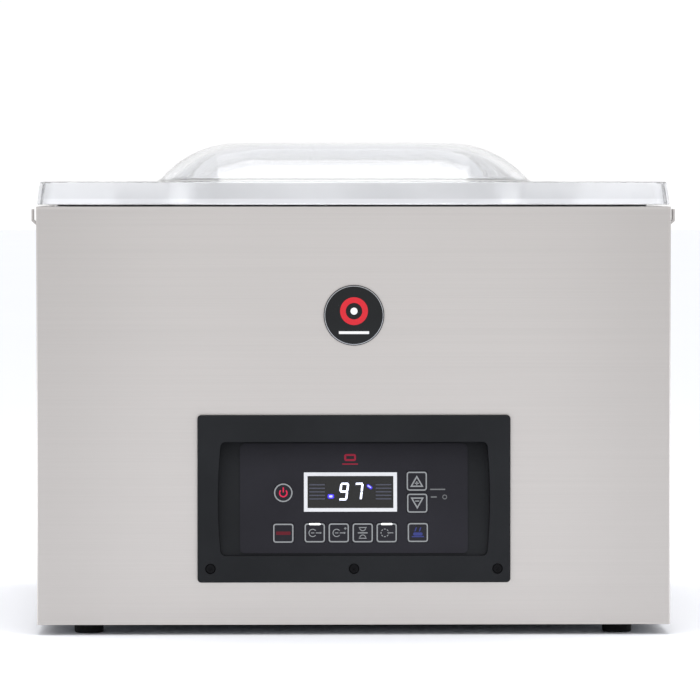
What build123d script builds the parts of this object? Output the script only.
from build123d import *
from math import atan2, cos, radians, sin, tan
import os

# Tabletop vacuum chamber sealer, in millimetres.
# The front faces -Y, +X is to the right seen from the front, +Z is up.
# The origin is on the floor, under the middle of the machine's box.

# ---- Overall sizes ----
body_w = 484.0            # casing, side to side
body_d = 520.0            # casing, front face to the back of the rear cover
casing_h = 317.0          # casing, lower edge to the underside of the deck
foot_h = 8.0              # lower edge of the casing above the floor
sheet = 1.5               # casing sheet
deck_t = 2.0              # deck sheet
return_w = 10.0           # inward flanges of the casing
corner_r = 2.0            # outer bend radius of the casing

# ---- Clearances ----
fit_gap = 0.3             # between pieces that move past each other
seat_gap = 0.2            # between fixed pieces that drop into a pocket
pin_gap = 0.05            # radial, between a pin or shaft and its bore
hole_gap = 0.1            # radial, between a screw and its hole

# ---- Control panel ----
bezel_w = 238.7
bezel_h = 127.8
bezel_z = 104.4           # height of the bezel's middle
bezel_proud = 4.5
bezel_corner_r = 3.0
recess_w = 203.0
recess_h = 87.0
recess_bow = 2.3          # how far the recess's sides bulge at mid height
recess_corner_r = 4.0
bucket_wall = 3.0
bucket_depth = 26.0       # bezel front to the back of its bucket
ledge = 5.0               # shelf that the keypad's backplate rests on
keypad_tilt = 6.1         # degrees, the keypad's top is the deeper end
keypad_depth = 7.5        # keypad face behind the bezel's front, at mid height
backplate_t = 3.0
overlay_t = 0.8
overlay_w = 174.0
overlay_h = 84.0
key_w = 16.0
key_h = 15.0
key_corner_r = 1.5
round_key_r = 7.3
key_proud = 0.1           # key face above the overlay
key_travel = 0.5
key_lip = 0.6             # retaining lip round a key's foot
key_lip_t = 0.6
board_t = 1.6
switch_h = 2.5
display_x = -2.6
display_z = 109.1
display_w = 71.1
display_h = 30.0
display_line = 2.75       # width of the frame round the display
display_frame_t = 0.4
panel_screw_drop = 53.4   # bezel screws below the bezel's middle
panel_screw_x = 109.5
screw_r = 2.0             # M4
screw_head_r = 3.8
screw_head_h = 2.2

# Key centres: name, x, height above the floor
key_places = [
    ("key_power", -53.9, 108.8),
    ("key_stop", -53.9, 78.1),
    ("key_vacuum", -29.9, 78.3),
    ("key_vacuum_plus", -11.6, 78.3),
    ("key_seal", 6.7, 78.3),
    ("key_air_in", 25.0, 78.3),
    ("key_special", 48.8, 78.5),
    ("key_up", 48.1, 117.5),
    ("key_down", 48.4, 100.8),
]
round_keys = ["key_power"]

# ---- Badge ----
badge_r = 23.1
badge_z = 244.3
badge_edge = 1.6
badge_crown = 1.4

# ---- Chamber ----
chamber_side = 27.0       # casing's side to the inside of the chamber
chamber_behind = 82.0     # inside of the chamber to the back of the rear cover
chamber_front = 38.0      # casing front to the inside of the chamber's front wall
chamber_depth = 115.0     # deck top to the chamber floor
chamber_wall = 2.0
chamber_r = 25.0
groove_offset = 5.0       # chamber opening to the gasket groove
groove_w = 8.0
groove_depth = 5.0
rim_land = 5.0            # flat rim outside the groove
filler_t = 15.0
filler_side = 15.0        # chamber's inside to the end of a filler plate
filler_front_gap = 57.0   # front wall to the filler plates, room for the seal bar
filler_rear_gap = 6.0
port_x = -95.0
port_drop = 72.0          # suction port below the deck's top
port_r = 7.0

# ---- Lid ----
lid_side = 0.2            # casing's side to the lid's edge
lid_behind = 45.0         # lid's rear edge to the back of the rear cover
lid_t = 17.5
lid_gap = 1.5             # lid underside above the deck, on the pressed gasket
lid_corner_r = 12.0
dome_x = -5.0             # the dome sits a little to the left
dome_y = -20.0
dome_base_w = 292.0
dome_base_d = 336.0
dome_base_r = 62.0
dome_run = 62.0           # dome's foot to its flat top, in from each side
dome_rise = 30.5
dome_corner_shrink = 0.35 # loss of corner radius for each millimetre in from the foot
dome_sections = 7
dome_wall = 7.0           # measured straight up
lid_open = 55.0           # degrees

# ---- Seal bar ----
seal_y_gap = 27.0         # chamber front wall to the seal bar's middle
seal_side = 10.0          # chamber's inside to the end of the seal bar
seal_w = 16.0
seal_h = 22.0
seal_lift = 8.0
seal_x = 150.0            # lift cylinders, either side of the middle
tape_t = 0.6
barrel_r = 15.0
barrel_h = 45.0
piston_r = 6.0
piston_gap_below = 10.0   # barrel floor
counter_h = 9.9           # counter bar's holder below the lid
counter_w = 20.0
silicone_w = 12.0
silicone_proud = 4.0
silicone_depth = 5.8      # of the silicone inside its holder

# ---- Hinge and gas struts ----
hinge_x = 164.0
hinge_behind = 17.0       # hinge axis behind the lid's rear edge
hinge_above = 3.5         # hinge axis above the lid's underside
knuckle_r = 8.0
knuckle_w = 20.0
pin_r = 4.0
ear_t = 6.0
ear_gap = 1.0
lug_edge = 6.0            # bolt centre to the end of the bracket's plate
lug_plate_t = 4.0
lever_t = 4.0
lever_reach = 21.3        # strut line in front of the hinge axis
slot_gap = 0.5            # bracket to the side of its opening in the deck
lever_half_w = 5.5
strut_pin_r = 2.5
strut_slot_gap = 0.6
strut_r = 9.0
strut_rod_r = 4.0
strut_len = 127.0
fork_t = 3.0
fork_half_d = 4.5
fork_h = 16.0
fork_throat = 11.5        # pin to the bottom of the fork's slot

# ---- Feet ----
foot_r = 11.25
foot_x = 203.0
foot_inset = 30.0         # foot centre behind the casing's front, or before its back
foot_taper = 1.5
foot_screw_r = 2.5
base_t = 2.0

# ---- Rear ----
inlet_proud = 4.5
inlet_x = -170.0
inlet_z = 60.0
inlet_w = 27.0
inlet_h = 20.0
inlet_wall = 2.0
inlet_len = 24.0
inlet_flange_t = 3.0
inlet_flange_w = 50.0
rocker_x = -170.0
rocker_z = 105.0
rocker_w = 20.0
rocker_r = 10.0
rocker_swing = 20.0       # degrees, off to on
rocker_frame = 3.0
rocker_frame_proud = 2.0
rocker_depth = 22.0
vent_w = 90.0
vent_h = 5.0
vent_pitch = 11.0
vent_rows = 9
vent_x = 90.0
vent_z = 90.0

# ---- Pump ----
pump_to_hose = 127.0      # pump axis to the hose behind the chamber
hose_behind = 32.0        # hose behind the chamber's rear wall
pump_z = 98.0
motor_r = 62.0
motor_wall = 6.0
motor_x0 = -35.0
motor_len = 170.0
fin_h = 4.0
fin_t = 3.0
fin_pitch = 9.0
shaft_r = 10.0
pump_r = 58.0
pump_x0 = -150.0
pump_len = 112.0
pump_bore_r = 38.0
rotor_r = 30.0
rotor_offset = 7.0        # the rotor sits above the bore's middle
vane_t = 4.0
fan_r = 50.0
fan_t = 14.0
fan_blades = 8
cowl_len = 34.0
mount_r = 12.0
tank_w = 62.0
tank_d = 100.0
tank_h = 105.0
tank_wall = 3.0
hose_r = 9.0
hose_bore_r = 7.2
hose_bend = 45.0
hose_z = 132.0            # height of the pump's suction barb

# ---- Places worked out from the sizes ----
front_y = -(body_d + bezel_proud + inlet_proud) / 2 + bezel_proud
rear_y = front_y + body_d
half_w = body_w / 2
chamber_w = body_w - 2 * chamber_side
chamber_d = body_d - chamber_front - chamber_behind
lid_w = body_w - 2 * lid_side
lid_d = body_d - lid_behind
filler_w = chamber_w - 2 * filler_side
seal_len = chamber_w - 2 * seal_side
casing_top = foot_h + casing_h
deck_top = casing_top + deck_t
inner_floor = foot_h + sheet + base_t
cover_front = rear_y - sheet
bezel_front = front_y - bezel_proud
chamber_y = front_y + chamber_front + chamber_d / 2
chamber_floor = deck_top - chamber_depth
chamber_rear = chamber_y + chamber_d / 2
rim_out = groove_offset + groove_w + rim_land
lid_under = deck_top + lid_gap
lid_top = lid_under + lid_t
lid_rear = front_y + lid_d
lid_y = front_y + lid_d / 2
hinge_y = lid_rear + hinge_behind
hinge_z = lid_under + hinge_above
strut_y = hinge_y - lever_reach
strut_pin_z = hinge_z - lever_reach * tan(radians(lid_open / 2))
strut_travel = 2 * lever_reach * tan(radians(lid_open / 2))
seal_y = front_y + chamber_front + seal_y_gap
counter_low = lid_under - counter_h - silicone_proud
seal_top = counter_low - 0.4 - seal_lift
port_z = deck_top - port_drop
lug_bolt_x = knuckle_w / 2 + screw_head_r + seat_gap
lug_plate_w = 2 * (lug_bolt_x + lug_edge)
rim_hold = groove_offset + groove_w + sheet + 1.0
hose_y = chamber_rear + chamber_wall + hose_behind
pump_y = hose_y - pump_to_hose


# ---- Helpers ----
def block(x0, x1, y0, y1, z0, z1):
    """A box between two corners."""
    return Pos((x0 + x1) / 2, (y0 + y1) / 2, (z0 + z1) / 2) * Box(x1 - x0, y1 - y0, z1 - z0)


def bar(radius, length, start, axis="Z"):
    """A round bar that starts at a point and runs along an axis."""
    turn = {"X": Rot(0, 90, 0), "Y": Rot(-90, 0, 0), "Z": Rot(0, 0, 0)}[axis]
    return Pos(*start) * turn * Cylinder(radius, length, align=(Align.CENTER, Align.CENTER, Align.MIN))


def slab(width, depth, radius, x, y, z0, z1):
    """An upright block with rounded corners."""
    return extrude(Pos(x, y, z0) * RectangleRounded(width, depth, radius), z1 - z0)


def front_plate(width, height, radius, x, z, y0, y1):
    """A block with rounded corners seen from the front, from y0 back to y1."""
    plane = Plane(origin=(x, y1, z), x_dir=(1, 0, 0), z_dir=(0, -1, 0))
    return extrude(plane * RectangleRounded(width, height, radius), y1 - y0)


def side_outline(points, x0, x1):
    """An outline of (y, z) points, extruded from x0 to x1."""
    plane = Plane(origin=(x0, 0, 0), x_dir=(0, 1, 0), z_dir=(1, 0, 0))
    return extrude(plane * Polygon(*points, align=None), x1 - x0)


def both_sides(make):
    """One piece on each side of the middle, made by a function of the side."""
    return Compound(children=[make(-1), make(1)])


def save(name, shape):
    """Write one sub-part."""
    export_step(shape, f"parts/{name}.step")


os.makedirs("parts", exist_ok=True)

# ---- Keypad plane: x to the right, y up the keypad's face, z out towards the user ----
tilt = radians(keypad_tilt)
keypad = Plane(
    origin=(0, bezel_front + keypad_depth, bezel_z),
    x_dir=(1, 0, 0),
    z_dir=(0, -cos(tilt), sin(tilt)),
)


def up_keypad(z):
    """Distance up the keypad's face of a height above the floor."""
    return (z - bezel_z) / cos(tilt)


def on_keypad(sketch, x, z, low, high):
    """A sketch extruded square to the keypad's face, between two depths."""
    return keypad * Pos(x, up_keypad(z), low) * extrude(sketch, high - low)


def key_sketch(name, grow):
    """The outline of a key, grown by a clearance or a lip."""
    if name in round_keys:
        return Circle(round_key_r + grow)
    return RectangleRounded(key_w + 2 * grow, key_h + 2 * grow, key_corner_r + max(grow, 0.0))


def recess_prism(grow, y0, y1):
    """The recess's opening with its bowed sides, grown by a clearance."""
    half_x = recess_w / 2 + grow
    half_z = recess_h / 2 + grow
    plane = Plane(origin=(0, y1, bezel_z), x_dir=(1, 0, 0), z_dir=(0, -1, 0))
    right = ThreePointArc((half_x, -half_z), (half_x + recess_bow, 0), (half_x, half_z))
    left = ThreePointArc((-half_x, half_z), (-half_x - recess_bow, 0), (-half_x, -half_z))
    top = Line((half_x, half_z), (-half_x, half_z))
    bottom = Line((-half_x, -half_z), (half_x, -half_z))
    face = make_face([right, top, left, bottom])
    face = fillet(face.vertices(), recess_corner_r)
    return extrude(plane * face, y1 - y0)


# ---- Casing ----
def outer_casing():
    """Front and sides folded from one sheet, with inward flanges and a lug near the front of each side."""
    outer = block(-half_w, half_w, front_y, cover_front, foot_h, casing_top)
    front_corners = outer.edges().filter_by(Axis.Z).group_by(Axis.Y)[0]
    outer = fillet(front_corners, corner_r)
    inner = block(
        -half_w + sheet, half_w - sheet, front_y + sheet, cover_front - sheet,
        foot_h + sheet, casing_top - sheet,
    )
    inner = fillet(inner.edges().filter_by(Axis.Z).group_by(Axis.Y)[0], corner_r - sheet)
    opening_x = half_w - return_w
    down_through = block(
        -opening_x, opening_x, front_y + return_w, cover_front - return_w,
        foot_h - 1, foot_h + return_w,
    )
    rim_x = chamber_w / 2 + rim_hold
    up_through = block(
        -rim_x, rim_x, front_y + chamber_front - rim_hold, cover_front - return_w,
        casing_top - return_w, casing_top + 1,
    )
    rear_through = block(
        -opening_x, opening_x, rear_y - return_w, rear_y + 1,
        foot_h + return_w, casing_top - return_w,
    )
    panel_hole = recess_prism(bucket_wall + seat_gap, front_y - 1, front_y + sheet + 1)
    casing = outer - inner - down_through - up_through - rear_through - panel_hole
    for x in (-panel_screw_x, 0, panel_screw_x):
        casing -= bar(screw_r + hole_gap, sheet + 2, (x, front_y - 1, bezel_z - panel_screw_drop), "Y")
    for x, z in rear_screw_places():
        casing -= bar(screw_r + hole_gap, sheet + 2, (x, cover_front - sheet - 1, z), "Y")
    for side in (-1, 1):
        casing += side_lug(side)
    return casing


lug_proud = 4.0
lug_w = 14.0
lug_h = 13.0
lug_back = 22.0           # lug's middle behind the casing's front


def side_lug(side):
    """A small folded lug high on one side of the casing."""
    top = casing_top
    points = [
        (half_w - sheet / 2, top - lug_h),
        (half_w + lug_proud, top - lug_h + lug_proud),
        (half_w + lug_proud, top),
        (half_w + lug_proud - sheet, top),
        (half_w + lug_proud - sheet, top - lug_h + lug_proud + 1),
        (half_w - sheet / 2, top - lug_h + 2),
    ]
    lug_y = front_y + lug_back
    plane = Plane(origin=(0, lug_y + lug_w / 2, 0), x_dir=(side, 0, 0), z_dir=(0, -side, 0))
    shape = extrude(plane * Polygon(*points, align=None), side * lug_w)
    return shape


def rear_screw_places():
    """Centres of the rear cover's screws."""
    x = half_w - return_w / 2 - sheet / 2
    low = foot_h + return_w + 12
    high = casing_top - return_w - 12
    return [(side * x, z) for side in (-1, 1) for z in (low, (low + high) / 2, high)]


def hinge_slots(z0, z1):
    """Openings in the deck that the levers and strut forks pass through."""
    slot_w = knuckle_w + 2 * slot_gap
    y0 = strut_y - lever_half_w - 5
    y1 = hinge_y + knuckle_r + 4
    return both_sides(lambda side: block(
        side * hinge_x - slot_w / 2, side * hinge_x + slot_w / 2, y0, y1, z0, z1))


def deck():
    """Top sheet round the chamber's rim."""
    sheet_plate = block(-half_w, half_w, front_y, rear_y, casing_top, deck_top)
    sheet_plate = fillet(sheet_plate.edges().filter_by(Axis.Z), corner_r)
    opening = slab(
        chamber_w + 2 * rim_out + 2 * seat_gap, chamber_d + 2 * rim_out + 2 * seat_gap,
        chamber_r + rim_out + seat_gap, 0, chamber_y, casing_top - 1, deck_top + 1,
    )
    return sheet_plate - opening - hinge_slots(casing_top - 1, deck_top + 1)


def vent_slots(y0, y1):
    """Two banks of louvre slots."""
    slots = []
    for side in (-1, 1):
        for row in range(vent_rows):
            z = vent_z + row * vent_pitch + vent_h
            slots.append(front_plate(vent_w, vent_h, vent_h / 2 - 0.1, side * vent_x * 0.8, z, y0, y1))
    return Compound(children=slots)


def rear_cover():
    """Back panel with its louvres and the cut-outs for the inlet and the switch."""
    cover = block(-half_w, half_w, cover_front, rear_y, foot_h, casing_top)
    cover -= vent_slots(cover_front - 1, rear_y + 1)
    cover -= front_plate(inlet_w + 2 * inlet_wall + 2 * seat_gap, inlet_h + 2 * inlet_wall + 2 * seat_gap,
                         2, inlet_x, inlet_z, cover_front - 1, rear_y + 1)
    cover -= front_plate(rocker_w + 2 * rocker_frame + 2 * seat_gap,
                         2 * rocker_r + 2 * rocker_frame + 2 * seat_gap,
                         1, rocker_x, rocker_z, cover_front - 1, rear_y + 1)
    for x, z in rear_screw_places():
        cover -= bar(screw_r + hole_gap, sheet + 2, (x, cover_front - 1, z), "Y")
    return cover


def button_screw(x, y, z, direction, length):
    """A domed screw along Y: direction is where its head points."""
    head = bar(screw_head_r, screw_head_h, (x, min(y, y + direction * screw_head_h), z), "Y")
    outer_y = y + direction * screw_head_h
    rim = head.edges().filter_by(GeomType.CIRCLE).sort_by(lambda e: abs(e.center().Y - outer_y))[0]
    head = fillet(rim, screw_head_h * 0.45)
    shank = bar(screw_r, length, (x, min(y, y - direction * length), z), "Y")
    socket = bar(screw_r * 0.65, screw_head_h * 0.6, (x, min(outer_y, outer_y - direction * screw_head_h * 0.6), z), "Y")
    return head + shank - socket


def foot_places():
    """Centres of the four feet."""
    return [(x, y) for x in (-foot_x, foot_x) for y in (front_y + foot_inset, rear_y - foot_inset)]


def base_plate():
    """Floor of the casing, resting on its lower flanges, with holes for the feet and air slots."""
    gap = seat_gap + sheet
    plate = block(-half_w + gap, half_w - gap, front_y + gap + corner_r, cover_front - sheet - seat_gap,
                  foot_h + sheet, inner_floor)
    for x, y in foot_places():
        plate -= bar(foot_screw_r + hole_gap, base_t + 2, (x, y, foot_h + sheet - 1))
    for row in range(6):
        plate -= slab(120, 6, 2.9, 0, front_y + 70 + row * 14, foot_h + sheet - 1, inner_floor + 1)
    return plate


def rubber_feet():
    """Four rubber feet with a rounded lower edge and a recess for the screw."""
    feet = []
    for x, y in foot_places():
        foot = bar(foot_r, foot_h + sheet, (x, y, 0))
        foot = fillet(foot.edges().filter_by(GeomType.CIRCLE).sort_by(Axis.Z)[0], foot_taper)
        foot -= bar(foot_screw_r * 2 + 0.5, 4, (x, y, 0))
        foot -= bar(foot_screw_r + hole_gap, foot_h + sheet, (x, y, 0))
        feet.append(foot)
    return Compound(children=feet)


def casing_screws():
    """Domed screws in the rear cover and pan-head screws that hold the feet to the base plate."""
    screws = [button_screw(x, rear_y, z, 1, 8.0) for x, z in rear_screw_places()]
    for x, y in foot_places():
        head = bar(foot_screw_r * 2, 2.5, (x, y, 1.5))
        shank = bar(foot_screw_r, foot_h + sheet + base_t, (x, y, 1.5))
        screws.append(head + shank)
    return Compound(children=screws)


def badge():
    """Glossy domed disc on the casing's front."""
    disc = bar(badge_r, badge_edge, (0, front_y - badge_edge, badge_z), "Y")
    crown_r = (badge_r ** 2 + badge_crown ** 2) / (2 * badge_crown)
    ball = Pos(0, front_y - badge_edge - badge_crown + crown_r, badge_z) * Sphere(crown_r)
    cap_zone = bar(badge_r, badge_crown + 1, (0, front_y - badge_edge - badge_crown - 1, badge_z), "Y")
    return disc + (ball & cap_zone)


# ---- Control panel ----
def control_bezel():
    """Moulded frame with a bucket behind its opening and a shelf for the keypad."""
    plate = front_plate(bezel_w, bezel_h, bezel_corner_r, 0, bezel_z, bezel_front, front_y)
    plate = chamfer(plate.faces().sort_by(Axis.Y)[0].edges(), 0.8)
    bucket = recess_prism(bucket_wall, bezel_front + 1, bezel_front + bucket_depth)
    seat_zone = keypad * Pos(0, 0, -backplate_t) * Box(
        400, 400, 100, align=(Align.CENTER, Align.CENTER, Align.MIN))
    front_hollow = recess_prism(0, bezel_front - 5, bezel_front + bucket_depth + 5) & seat_zone
    rear_hollow = recess_prism(-ledge, bezel_front - 5, bezel_front + bucket_depth + 5)
    frame = plate + bucket - front_hollow - rear_hollow
    for x in (-panel_screw_x, 0, panel_screw_x):
        z = bezel_z - panel_screw_drop
        frame -= bar(screw_head_r + seat_gap, screw_head_h, (x, bezel_front, z), "Y")
        frame -= bar(screw_r + hole_gap, bezel_proud + 2, (x, bezel_front, z), "Y")
    return frame


def bezel_screws():
    """Three screws along the bezel's lower edge."""
    z = bezel_z - panel_screw_drop
    places = (-panel_screw_x, 0, panel_screw_x)
    return Compound(children=[button_screw(x, bezel_front + screw_head_h, z, -1, 9.0) for x in places])


def display_hole(grow, low, high):
    """The display's opening in a keypad layer."""
    return on_keypad(Rectangle(display_w + 2 * grow, display_h + 2 * grow), display_x, display_z, low, high)


def keypad_backplate():
    """Rigid tray behind the membrane, with holes for the keys and the display."""
    layer = keypad * Pos(0, 0, -backplate_t) * Box(
        400, 400, backplate_t, align=(Align.CENTER, Align.CENTER, Align.MIN))
    plate = recess_prism(-seat_gap, bezel_front - 5, bezel_front + bucket_depth + 5) & layer
    for name, x, z in key_places:
        plate -= on_keypad(key_sketch(name, fit_gap), x, z, -backplate_t - 1, 1)
    return plate - display_hole(-display_line - 2, -backplate_t - 1, 1)


def keypad_overlay():
    """Membrane face, with an opening for each key and for the display."""
    sheet_face = RectangleRounded(overlay_w, overlay_h, recess_corner_r)
    overlay = on_keypad(sheet_face, 0, bezel_z, 0, overlay_t)
    for name, x, z in key_places:
        overlay -= on_keypad(key_sketch(name, fit_gap), x, z, -1, overlay_t + 1)
    return overlay - display_hole(-display_line, -1, overlay_t + 1)


def display_frame():
    """Raised light frame round the display."""
    ring = display_hole(0, overlay_t, overlay_t + display_frame_t)
    return ring - display_hole(-display_line, overlay_t - 1, overlay_t + 2)


def display_window():
    """Smoked pane over the display."""
    return display_hole(-display_line - 0.1, 0, overlay_t - 0.1)


def display_module():
    """Digit and lamp block on the control board, behind the window."""
    return display_hole(-display_line - 2 - seat_gap, board_face(), -0.1)


def board_face():
    """Depth of the control board's front face behind the keypad's face."""
    return -(backplate_t + 0.4 + key_lip_t + key_travel + 0.4 + switch_h)


def control_board():
    """Circuit board with one switch behind each key, and its spacers."""
    face = board_face()
    board_h = recess_h - 2 * ledge - 4
    board = on_keypad(Rectangle(overlay_w - 8, board_h), 0, bezel_z, face - board_t, face)
    pieces = [board]
    for _, x, z in key_places:
        pieces.append(on_keypad(Rectangle(6, 6), x, z, face, face + switch_h - 0.8))
        pieces.append(on_keypad(Circle(1.6), x, z, face + switch_h - 0.8, face + switch_h))
    corner_x = overlay_w / 2 - 8
    corner_z = board_h / 2 - 4
    for x in (-corner_x, corner_x):
        for z in (bezel_z - corner_z, bezel_z + corner_z):
            pieces.append(on_keypad(Circle(2.5), x, z, face, -backplate_t))
    return Compound(children=pieces)


def key(name, x, z):
    """One key: its cap through the overlay and a lip behind the backplate."""
    foot = -backplate_t - 0.4 - key_lip_t
    cap = on_keypad(key_sketch(name, 0), x, z, foot, overlay_t + key_proud)
    lip = on_keypad(key_sketch(name, key_lip), x, z, foot, foot + key_lip_t)
    return cap + lip


# ---- Chamber ----
def vacuum_chamber():
    """Pressed tub with a rim that carries the gasket groove."""
    def ring_slab(grow, z0, z1):
        return slab(chamber_w + 2 * grow, chamber_d + 2 * grow, chamber_r + grow, 0, chamber_y, z0, z1)

    tub = ring_slab(chamber_wall, chamber_floor - chamber_wall, deck_top)
    tub += ring_slab(rim_out, casing_top, deck_top)
    tub += ring_slab(groove_offset + groove_w + sheet, deck_top - groove_depth - sheet, deck_top)
    tub -= ring_slab(0, chamber_floor, deck_top + 1)
    groove = ring_slab(groove_offset + groove_w, deck_top - groove_depth, deck_top + 1)
    groove -= ring_slab(groove_offset, deck_top - groove_depth - 1, deck_top + 2)
    tub -= groove
    tub -= bar(port_r + hole_gap, 20, (port_x, chamber_rear - 10, port_z), "Y")
    return tub


def lid_gasket():
    """Soft ring in the rim's groove."""
    low = deck_top - groove_depth
    high = lid_under - fit_gap
    outer = groove_offset + groove_w - seat_gap
    inner = groove_offset + seat_gap

    def ring_slab(grow):
        return slab(chamber_w + 2 * grow, chamber_d + 2 * grow, chamber_r + grow, 0, chamber_y, low, high)

    return ring_slab(outer) - ring_slab(inner)


def filler_plates():
    """Two loose plates on the chamber floor that take up volume."""
    y0 = front_y + chamber_front + filler_front_gap
    y1 = chamber_rear - filler_rear_gap
    plates = []
    for layer in range(2):
        z0 = chamber_floor + layer * filler_t
        plates.append(slab(filler_w, y1 - y0, 12, 0, (y0 + y1) / 2, z0, z0 + filler_t))
    return Compound(children=plates)


def chamber_suction_fitting():
    """Perforated guard inside the chamber, a tube through its wall and an elbow down to the hose."""
    guard = bar(port_r * 2, 3, (port_x, chamber_rear - 3, port_z), "Y")
    guard -= bar(port_r - 2, 4, (port_x, chamber_rear - 3.5, port_z), "Y")
    tube = bar(port_r, hose_y - chamber_rear, (port_x, chamber_rear, port_z), "Y")
    elbow = block(port_x - port_r - 1, port_x + port_r + 1, hose_y - 8, hose_y + 8, port_z - 8, port_z + 8)
    barb = bar(hose_bore_r - 0.2, 26, (port_x, hose_y, port_z - 30))
    inside = bar(port_r - 2, hose_y - chamber_rear + 8, (port_x, chamber_rear - 3.5, port_z), "Y")
    inside += bar(port_r - 2.5, 33, (port_x, hose_y, port_z - 31))
    return guard + tube + elbow + barb - inside


def seal_lift_barrels():
    """Two lift cylinders standing on the chamber floor."""
    barrels = []
    for x in (-seal_x, seal_x):
        body = bar(barrel_r, barrel_h, (x, seal_y, chamber_floor))
        body -= bar(piston_r + pin_gap, barrel_h, (x, seal_y, chamber_floor + piston_gap_below))
        barrels.append(body)
    return Compound(children=barrels)


def seal_bar():
    """Aluminium bar that carries the sealing wire."""
    bottom = seal_top - tape_t - seal_h
    bar_body = block(-seal_len / 2, seal_len / 2, seal_y - seal_w / 2, seal_y + seal_w / 2,
                     bottom, seal_top - tape_t)
    return chamfer(bar_body.edges().filter_by(Axis.X), 1.0)


def seal_tape():
    """Sealing wire under its non-stick tape."""
    return block(-seal_len / 2 + 4, seal_len / 2 - 4, seal_y - seal_w / 2 + 2, seal_y + seal_w / 2 - 2,
                 seal_top - tape_t, seal_top)


def seal_pistons():
    """Piston rods under the seal bar."""
    bottom = chamber_floor + piston_gap_below + 4
    length = seal_top - tape_t - seal_h - bottom
    return Compound(children=[bar(piston_r, length, (x, seal_y, bottom)) for x in (-seal_x, seal_x)])


# ---- Lid ----
def dome_solid(drop):
    """The dome's arched form from its foot to its flat top, lowered for the inner face."""
    foot_angle = 2 * atan2(dome_rise, dome_run)
    arch_r = dome_run / sin(foot_angle)
    sections = []
    for n in range(dome_sections):
        angle = foot_angle * (1 - n / (dome_sections - 1))
        inset = arch_r * (sin(foot_angle) - sin(angle))
        height = arch_r * (cos(angle) - cos(foot_angle))
        outline = RectangleRounded(dome_base_w - 2 * inset, dome_base_d - 2 * inset,
                                   dome_base_r - dome_corner_shrink * inset)
        sections.append(Pos(dome_x, dome_y, lid_top + height - drop) * outline)
    return loft(sections, ruled=True)


def lid_form():
    """Clear moulding: a flange with a hollow dome in its middle."""
    plate = slab(lid_w, lid_d, lid_corner_r, 0, lid_y, lid_under, lid_top)
    plate = chamfer(plate.faces().sort_by(Axis.Z)[-1].edges(), 1.5)
    form = plate + dome_solid(0)
    hollow = dome_solid(dome_wall)
    hollow += slab(dome_base_w, dome_base_d, dome_base_r, dome_x, dome_y, lid_under - 1, lid_top - dome_wall)
    form -= hollow
    for x, z in lid_bolt_places():
        form -= bar(screw_r + hole_gap, 12.3, (x, lid_rear - 12.3, z), "Y")
    return form


def lid():
    """The moulding's flange, up to the foot of the dome."""
    return lid_form() & block(-half_w, half_w, front_y, rear_y, lid_under, lid_top)


def lid_crown():
    """The moulding's dome, above the flange."""
    return lid_form() & block(-half_w, half_w, front_y, rear_y, lid_top, lid_top + dome_rise)


def lid_bolt_places():
    """Centres of the bolts that hold the hinge brackets to the lid's rear edge."""
    z = lid_under + lid_t / 2
    return [(side * hinge_x + dx, z) for side in (-1, 1) for dx in (-lug_bolt_x, lug_bolt_x)]


def counter_bar_holder():
    """Channel under the lid that holds the silicone."""
    body = block(-seal_len / 2, seal_len / 2, seal_y - counter_w / 2, seal_y + counter_w / 2,
                 lid_under - counter_h, lid_under)
    groove = block(-seal_len / 2 - 1, seal_len / 2 + 1, seal_y - silicone_w / 2, seal_y + silicone_w / 2,
                   lid_under - counter_h - 1, lid_under - counter_h + silicone_depth + seat_gap)
    return body - groove


def counter_bar_silicone():
    """Silicone strip that the bag is pressed against."""
    half = silicone_w / 2 - seat_gap
    return block(-seal_len / 2, seal_len / 2, seal_y - half, seal_y + half,
                 counter_low, lid_under - counter_h + silicone_depth)


# ---- Hinge and struts ----
def hinge_bracket(side):
    """Plate on the lid's rear edge, with its knuckle and the lever that works the gas strut."""
    x = side * hinge_x
    plate = block(x - lug_plate_w / 2, x + lug_plate_w / 2, lid_rear, lid_rear + lug_plate_t,
                  lid_under + 1, lid_top - 1)
    web = block(x - knuckle_w / 2, x + knuckle_w / 2, lid_rear, hinge_y,
                lid_under + 1, hinge_z + knuckle_r)
    knuckle = bar(knuckle_r, knuckle_w, (x - knuckle_w / 2, hinge_y, hinge_z), "X")
    slope = radians(lid_open / 2)
    at_axis = Plane(origin=(x, hinge_y, hinge_z), x_dir=(0, -cos(slope), -sin(slope)), z_dir=(1, 0, 0))
    near = lever_reach - strut_pin_r - strut_slot_gap
    far = lever_reach / cos(slope) + strut_pin_r + strut_slot_gap
    tip = far + lever_half_w - strut_pin_r
    outline = Pos((tip - lever_half_w) / 2, 0) * SlotOverall(tip + lever_half_w, 2 * lever_half_w)
    lever = at_axis * extrude(outline, lever_t / 2, both=True)
    slot = Pos((near + far) / 2, 0) * SlotOverall(far - near, 2 * (strut_pin_r + strut_slot_gap))
    slot_cut = at_axis * extrude(slot, lever_t, both=True)
    room = block(x - knuckle_w, x + knuckle_w, strut_y - 20, lid_rear, hinge_z - 40, lid_under - fit_gap)
    behind = block(x - knuckle_w, x + knuckle_w, lid_rear, hinge_y, hinge_z - 40, hinge_z + knuckle_r)
    bracket = plate + web + knuckle + (lever & (room + behind)) - slot_cut
    bracket -= bar(pin_r + pin_gap, knuckle_w + 2, (x - knuckle_w / 2 - 1, hinge_y, hinge_z), "X")
    for bx, bz in lid_bolt_places():
        bracket -= bar(screw_r + hole_gap, lug_plate_t + 2, (bx, lid_rear - 1, bz), "Y")
    return bracket


def lid_bracket_bolts():
    """Domed bolts through the hinge brackets into the lid's edge."""
    return Compound(children=[button_screw(x, lid_rear + lug_plate_t, z, 1, 15.0)
                              for x, z in lid_bolt_places()])


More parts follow.
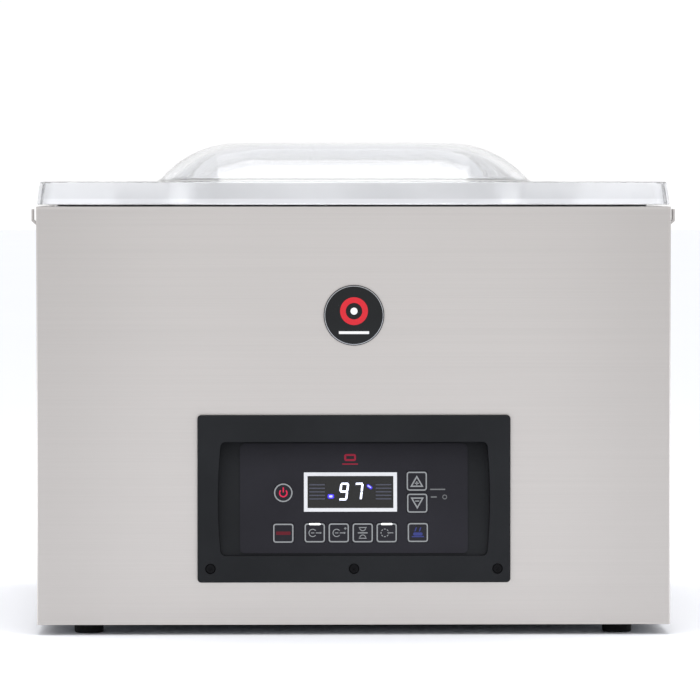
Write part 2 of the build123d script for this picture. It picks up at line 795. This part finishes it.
def hinge_block(side):
    """Foot on the deck with two ears round the knuckle."""
    x = side * hinge_x
    ear_x = knuckle_w / 2 + ear_gap
    base = block(x - ear_x - ear_t, x + ear_x + ear_t, hinge_y - knuckle_r, hinge_y + 2 * knuckle_r,
                 deck_top, deck_top + 2.5)
    slot_w = knuckle_w + 2 * ear_gap
    base -= block(x - slot_w / 2, x + slot_w / 2, hinge_y - 20, hinge_y + knuckle_r + 4,
                  deck_top - 1, deck_top + 4)
    block_body = base
    for inner_x in (x - ear_x - ear_t, x + ear_x):
        ear = bar(knuckle_r, ear_t, (inner_x, hinge_y, hinge_z), "X")
        ear += block(inner_x, inner_x + ear_t, hinge_y - knuckle_r, hinge_y + knuckle_r,
                     deck_top, hinge_z)
        block_body += ear
    block_body -= block(x - 50, x + 50, hinge_y - 20, hinge_y + 20, deck_top - knuckle_r, deck_top)
    bore_len = 2 * (ear_x + ear_t) + 2
    return block_body - bar(pin_r + pin_gap, bore_len, (x - bore_len / 2, hinge_y, hinge_z), "X")


def hinge_pins():
    """Two steel pins, one through each hinge."""
    length = 2 * (knuckle_w / 2 + ear_gap + ear_t) + 2
    return both_sides(lambda side: bar(pin_r, length, (side * hinge_x - length / 2, hinge_y, hinge_z), "X"))


def fork_top():
    """Top of the fork that carries the strut's pin."""
    return strut_pin_z + 5.0


def strut_rod(side):
    """Piston rod with its fork and cross pin."""
    x = side * hinge_x
    inner = lever_t / 2 + fit_gap + 0.2
    outer = inner + fork_t
    fork_low = strut_pin_z - fork_h
    head = block(x - outer, x + outer, strut_y - fork_half_d, strut_y + fork_half_d, fork_low, strut_pin_z)
    head += bar(fork_half_d, 2 * outer, (x - outer, strut_y, strut_pin_z), "X")
    head -= block(x - inner, x + inner, strut_y - 6, strut_y + 6, strut_pin_z - fork_throat, strut_pin_z + 6)
    pin = bar(strut_pin_r, 2 * outer, (x - outer, strut_y, strut_pin_z), "X")
    rod_low = strut_top() - strut_len + 12
    rod = bar(strut_rod_r, fork_low - rod_low, (x, strut_y, rod_low))
    return head + pin + rod


def strut_top():
    """Upper end of the strut's cylinder."""
    return strut_pin_z - fork_h - 16


def gas_struts():
    """Strut cylinders on posts that stand on the base plate."""
    pieces = []
    for side in (-1, 1):
        x = side * hinge_x
        low = strut_top() - strut_len
        tube = bar(strut_r, strut_len, (x, strut_y, low))
        tube -= bar(strut_rod_r + pin_gap, strut_len, (x, strut_y, low + 8))
        post = block(x - 7, x + 7, strut_y - 6, strut_y + 6, inner_floor, low)
        pieces.append(tube)
        pieces.append(post)
    return Compound(children=pieces)


# ---- Rear fittings ----
rocker_axis_in = 2.5      # rocker's axis behind the cover's face
rocker_pin_r = 1.5
rocker_pin_len = 1.7
flange_lap = 2.5          # flanges overlap their holes by this much
inlet_back_wall = 4.0
pin_blade_w = 2.0
pin_blade_h = 4.0
pin_blade_pitch = 7.0
earth_rise = 4.0
pin_recess = 6.0


def rocker_switch():
    """Rocker with a shallow V face, resting at its off end."""
    outline = [(-0.5, -0.4), (0.2, -0.93), (0.45, -0.86), (0.26, 0), (0.45, 0.86), (0.2, 0.93), (-0.5, 0.4)]
    points = [(y * rocker_r, z * rocker_r) for y, z in outline]
    body = Pos(-rocker_w / 2, 0, 0) * side_outline(points, 0, rocker_w)
    pins = bar(rocker_pin_r, rocker_w + 2 * (fit_gap + rocker_pin_len),
               (-rocker_w / 2 - fit_gap - rocker_pin_len, 0, 0), "X")
    resting = Rot(-rocker_swing / 2, 0, 0) * (body + pins)
    return Pos(rocker_x, rear_y - rocker_axis_in, rocker_z) * resting


def rocker_housing():
    """Frame and box round the rocker, with sockets for its pins."""
    outer_w = rocker_w + 2 * rocker_frame
    outer_h = 2 * rocker_r + 2 * rocker_frame
    box = front_plate(outer_w, outer_h, 1, rocker_x, rocker_z, rear_y - rocker_depth, rear_y)
    box += front_plate(outer_w + 2 * flange_lap, outer_h + 2 * flange_lap, 1.5, rocker_x, rocker_z,
                       rear_y, rear_y + rocker_frame_proud)
    half_x = rocker_w / 2 + fit_gap
    half_z = rocker_r + fit_gap
    box -= block(rocker_x - half_x, rocker_x + half_x, rear_y - rocker_depth + 3, rear_y + 5,
                 rocker_z - half_z, rocker_z + half_z)
    socket_len = 2 * (half_x + rocker_pin_len + seat_gap)
    return box - bar(rocker_pin_r + pin_gap, socket_len,
                     (rocker_x - socket_len / 2, rear_y - rocker_axis_in, rocker_z), "X")


def power_inlet():
    """Recessed mains inlet: its shroud and flange."""
    outer_w = inlet_w + 2 * inlet_wall
    outer_h = inlet_h + 2 * inlet_wall
    shroud = front_plate(outer_w, outer_h, 3, inlet_x, inlet_z, rear_y - inlet_len, rear_y + inlet_proud)
    shroud += front_plate(inlet_flange_w, outer_h + 2 * flange_lap, 3, inlet_x, inlet_z,
                          rear_y, rear_y + inlet_flange_t)
    return shroud - front_plate(inlet_w, inlet_h, 2, inlet_x, inlet_z,
                                rear_y - inlet_len + inlet_back_wall, rear_y + inlet_proud + 1)


def inlet_pins():
    """Three blades in the inlet, the earth blade higher than the other two."""
    y0 = rear_y - inlet_len + inlet_back_wall
    y1 = rear_y + inlet_proud - pin_recess
    blades = []
    for step, rise in ((-1, 0), (0, earth_rise), (1, 0)):
        x = inlet_x + step * pin_blade_pitch
        z = inlet_z - 1.5 + rise
        blades.append(block(x - pin_blade_w / 2, x + pin_blade_w / 2, y0, y1,
                            z - pin_blade_h / 2, z + pin_blade_h / 2))
    return Compound(children=blades)


# ---- Pump and what it needs ----
pump_foot_z = inner_floor + 22.0
mount_spread = 30.0       # mounts before and behind the pump axis
mount_x = (-125.0, 85.0)
end_wall = 12.0


def pump_body():
    """Vane pump housing with its off-centre bore, foot and suction barb."""
    body = bar(pump_r, pump_len, (pump_x0, pump_y, pump_z), "X")
    body += block(pump_x0 + 8, pump_x0 + pump_len - 40, pump_y - 45, pump_y + 45, pump_foot_z, pump_z - 30)
    body += bar(13, 60, (port_x, pump_y, hose_z), "Y")
    barb_tip = pump_y + 78
    body += bar(hose_bore_r - 0.2, barb_tip - pump_y, (port_x, pump_y, hose_z), "Y")
    body -= bar(port_r - 2, barb_tip - pump_y - 10, (port_x, pump_y + 12, hose_z), "Y")
    body -= bar(pump_bore_r, pump_len - 2 * end_wall,
                (pump_x0 + end_wall, pump_y, pump_z - rotor_offset), "X")
    return body - bar(shaft_r + pin_gap, pump_len, (pump_x0 + 4, pump_y, pump_z), "X")


def motor_casing():
    """Finned motor casing with a bearing bore in each end wall and a foot."""
    shell = bar(motor_r, motor_len, (motor_x0, pump_y, pump_z), "X")
    fins = int((motor_len - 30) / fin_pitch)
    for n in range(fins):
        shell += bar(motor_r + fin_h, fin_t, (motor_x0 + 15 + n * fin_pitch, pump_y, pump_z), "X")
    shell += block(motor_x0 + 60, motor_x0 + 150, pump_y - 45, pump_y + 45, pump_foot_z, pump_z - 30)
    shell -= bar(motor_r - motor_wall, motor_len - 2 * end_wall,
                 (motor_x0 + end_wall, pump_y, pump_z), "X")
    return shell - bar(shaft_r + pin_gap, motor_len + 2, (motor_x0 - 1, pump_y, pump_z), "X")


armature_r = 36.0
stator_gap = 1.0


def stator_ring():
    """Laminated ring that fills the motor casing round the armature."""
    length = motor_len - 2 * end_wall - 40
    x0 = motor_x0 + end_wall + 20
    ring = bar(motor_r - motor_wall - 0.05, length, (x0, pump_y, pump_z), "X")
    return ring - bar(armature_r + stator_gap, length + 2, (x0 - 1, pump_y, pump_z), "X")


def rotor_shaft():
    """Shaft with the vane rotor at one end and the motor's armature on it."""
    x0 = pump_x0 + 5
    x1 = motor_x0 + motor_len + 22
    body = bar(shaft_r, x1 - x0, (x0, pump_y, pump_z), "X")
    rotor_x0 = pump_x0 + end_wall + fit_gap
    rotor_len = pump_len - 2 * (end_wall + fit_gap)
    body += bar(rotor_r, rotor_len, (rotor_x0, pump_y, pump_z), "X")
    body += bar(armature_r, motor_len - 2 * end_wall - 40, (motor_x0 + end_wall + 20, pump_y, pump_z), "X")
    for quarter in range(4):
        slot = block(rotor_x0 - 1, rotor_x0 + rotor_len + 1, -vane_t / 2, vane_t / 2, rotor_r - 14, rotor_r + 1)
        body -= Pos(0, pump_y, pump_z) * Rot(90 * quarter, 0, 0) * slot
    return body


def cooling_fan():
    """Radial fan on the shaft's free end."""
    x0 = motor_x0 + motor_len + 4
    hub = bar(shaft_r + 6, fan_t, (0, 0, 0), "X")
    for n in range(fan_blades):
        blade = block(0, fan_t, -1, 1, shaft_r + 4, fan_r)
        hub += Rot(360 / fan_blades * n, 0, 0) * blade
    hub -= bar(shaft_r, fan_t + 2, (-1, 0, 0), "X")
    return Pos(x0, pump_y, pump_z) * hub


def fan_cowl():
    """Pressed cover over the fan, open towards the motor and slotted at its end."""
    x0 = motor_x0 + motor_len
    cup = bar(motor_r, cowl_len, (x0, pump_y, pump_z), "X")
    cup -= bar(motor_r - sheet, cowl_len - sheet, (x0, pump_y, pump_z), "X")
    for n in range(8):
        hole = Pos(x0 + cowl_len - sheet - 1, pump_y, pump_z) * Rot(45 * n, 0, 0)
        cup -= hole * block(0, sheet + 2, -4, 4, 15, fan_r)
    return cup


def pump_mounts():
    """Four rubber mounts under the pump and motor."""
    return Compound(children=[bar(mount_r, pump_foot_z - inner_floor, (x, y, inner_floor))
                              for x in mount_x for y in (pump_y - mount_spread, pump_y + mount_spread)])


def oil_tank():
    """Oil and exhaust tank on the pump's end."""
    x1 = pump_x0
    y0 = pump_y - tank_d / 2
    z0 = pump_z - tank_h / 2
    box = block(x1 - tank_w, x1, y0, y0 + tank_d, z0, z0 + tank_h)
    box = fillet(box.edges().filter_by(Axis.X), 8)
    hollow = block(x1 - tank_w + tank_wall, x1 - tank_wall, y0 + tank_wall, y0 + tank_d - tank_wall,
                   z0 + tank_wall, z0 + tank_h - tank_wall)
    return box - fillet(hollow.edges().filter_by(Axis.X), 5)


def oil_sight_glass():
    """Round level window in the tank's rear face."""
    return bar(12, 4, (pump_x0 - tank_w / 2, pump_y + tank_d / 2, pump_z - 15), "Y")


def oil_filler_cap():
    """Knurled cap on top of the tank."""
    cap = bar(13, 12, (pump_x0 - tank_w / 2, pump_y, pump_z + tank_h / 2))
    for n in range(12):
        groove = bar(1.5, 14, (13, 0, -1))
        cap -= Pos(pump_x0 - tank_w / 2, pump_y, pump_z + tank_h / 2) * Rot(0, 0, 30 * n) * groove
    return cap


def start_capacitor():
    """Motor capacitor standing on the base plate."""
    x, y = 200.0, pump_y + 80.0
    can = bar(20, 75, (x, y, inner_floor))
    can = fillet(can.edges().filter_by(GeomType.CIRCLE).sort_by(Axis.Z)[-1], 4)
    for dy in (-6, 6):
        can += block(x - 0.5, x + 0.5, y + dy - 3, y + dy + 3, inner_floor + 74, inner_floor + 84)
    return can


def vacuum_hose():
    """Hose from the chamber's elbow down and forward to the pump's barb."""
    top = (port_x, hose_y, port_z - 9)
    corner = (port_x, hose_y, hose_z)
    end = (port_x, pump_y + 62, hose_z)
    path = FilletPolyline(top, corner, end, radius=hose_bend)
    start = Plane(origin=top, z_dir=(0, 0, -1))
    ring = start * (Circle(hose_r) - Circle(hose_bore_r))
    return sweep(ring, path=path)


def hose_clamps():
    """Band clamps at both ends of the hose, each with its screw block."""
    upper = bar(hose_r + 1.2, 8, (port_x, hose_y, port_z - 22)) - bar(hose_r, 10, (port_x, hose_y, port_z - 23))
    upper += block(port_x - 4, port_x + 4, hose_y + hose_r + 0.5, hose_y + hose_r + 7, port_z - 22, port_z - 14)
    y0 = pump_y + 66
    lower = bar(hose_r + 1.2, 8, (port_x, y0, hose_z), "Y") - bar(hose_r, 10, (port_x, y0 - 1, hose_z), "Y")
    lower += block(port_x - 4, port_x + 4, y0, y0 + 8, hose_z + hose_r + 0.5, hose_z + hose_r + 7)
    return Compound(children=[upper, lower])


def valve_block():
    """Manifold with three solenoid coils for the air, lift and vacuum lines."""
    x0, y0, block_h = -160.0, front_y + 140.0, 34.0
    pieces = [block(x0, x0 + 120, y0, y0 + 40, inner_floor, inner_floor + block_h)]
    for n in range(3):
        pieces.append(bar(13, 38, (x0 + 22 + 38 * n, y0 + 20, inner_floor + block_h)))
    return Compound(children=pieces)


def seal_transformer():
    """Laminated core with its two windings."""
    x0, y0, core_w, core_d, core_h = 110.0, front_y + 80.0, 90.0, 40.0, 76.0
    limb = 16.0
    core = block(x0, x0 + core_w, y0, y0 + core_d, inner_floor, inner_floor + core_h)
    core -= block(x0 + limb, x0 + core_w - limb, y0 - 1, y0 + core_d + 1,
                  inner_floor + limb, inner_floor + core_h - limb)
    pieces = [core]
    for x in (x0 + limb / 2, x0 + core_w - limb / 2):
        coil = block(x - limb / 2 - 9, x + limb / 2 + 9, y0 - 9, y0 + core_d + 9,
                     inner_floor + limb + 1, inner_floor + core_h - limb - 1)
        coil -= block(x - limb / 2, x + limb / 2, y0, y0 + core_d, inner_floor, inner_floor + core_h)
        pieces.append(coil)
    return Compound(children=pieces)


# ---- Write every sub-part ----
save("outer_casing", outer_casing())
save("deck", deck())
save("rear_cover", rear_cover())
save("base_plate", base_plate())
save("rubber_feet", rubber_feet())
save("casing_screws", casing_screws())
save("badge", badge())
save("control_bezel", control_bezel())
save("bezel_screws", bezel_screws())
save("keypad_backplate", keypad_backplate())
save("keypad_overlay", keypad_overlay())
save("display_frame", display_frame())
save("display_window", display_window())
save("display_module", display_module())
save("control_board", control_board())
for key_name, key_x, key_z in key_places:
    save(key_name, key(key_name, key_x, key_z))
save("vacuum_chamber", vacuum_chamber())
save("lid_gasket", lid_gasket())
save("filler_plates", filler_plates())
save("chamber_suction_fitting", chamber_suction_fitting())
save("seal_lift_barrels", seal_lift_barrels())
save("seal_bar", seal_bar())
save("seal_tape", seal_tape())
save("seal_pistons", seal_pistons())
save("lid", lid())
save("lid_crown", lid_crown())
save("counter_bar_holder", counter_bar_holder())
save("counter_bar_silicone", counter_bar_silicone())
save("lid_hinge_brackets", both_sides(hinge_bracket))
save("lid_bracket_bolts", lid_bracket_bolts())
save("hinge_blocks", both_sides(hinge_block))
save("hinge_pins", hinge_pins())
save("gas_struts", gas_struts())
save("strut_rod_left", strut_rod(-1))
save("strut_rod_right", strut_rod(1))
save("rocker_switch", rocker_switch())
save("rocker_housing", rocker_housing())
save("power_inlet", power_inlet())
save("inlet_pins", inlet_pins())
save("pump_body", pump_body())
save("pump_motor", Compound(children=[motor_casing(), stator_ring()]))
save("pump_rotor", Compound(children=[rotor_shaft(), cooling_fan()]))
save("fan_cowl", fan_cowl())
save("pump_mounts", pump_mounts())
save("oil_tank", oil_tank())
save("oil_sight_glass", oil_sight_glass())
save("oil_filler_cap", oil_filler_cap())
save("start_capacitor", start_capacitor())
save("vacuum_hose", vacuum_hose())
save("hose_clamps", hose_clamps())
save("valve_block", valve_block())
save("seal_transformer", seal_transformer())
